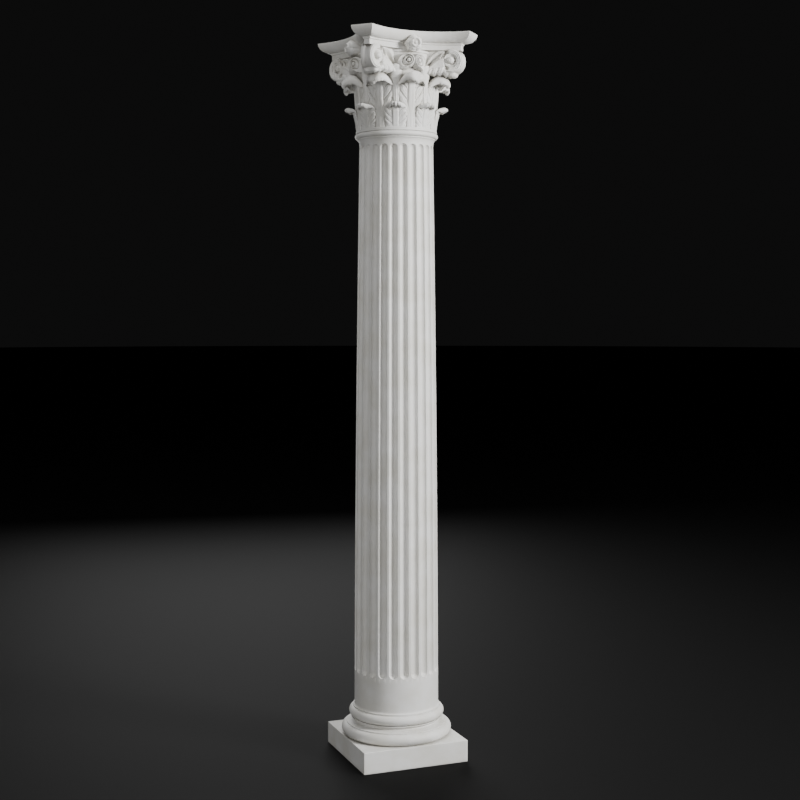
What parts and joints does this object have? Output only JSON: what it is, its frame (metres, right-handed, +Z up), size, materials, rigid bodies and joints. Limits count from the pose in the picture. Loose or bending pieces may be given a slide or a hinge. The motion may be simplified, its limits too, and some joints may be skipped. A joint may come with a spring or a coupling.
{
  "type": "corinthian column",
  "caption": "Free-standing Corinthian column: square plinth, round Attic base, fluted tapering shaft and a leafy capital with volutes under a concave abacus.",
  "frame": {"origin": "middle of the plinth's underside, where the column meets the floor", "axes": "+Z up along the column's axis, -Y out of the middle of one side of the plinth and abacus"},
  "size_m": [0.5444, 0.5444, 3],
  "materials": {
    "plinth_paint": "matte",
    "base_paint": "matte",
    "shaft_paint": "matte",
    "capital_paint": "matte"
  },
  "bodies": {
    "root": {"plinth": "plinth_paint", "base": "base_paint", "shaft": "shaft_paint", "capital": "capital_paint"}
  },
  "joints": []
}
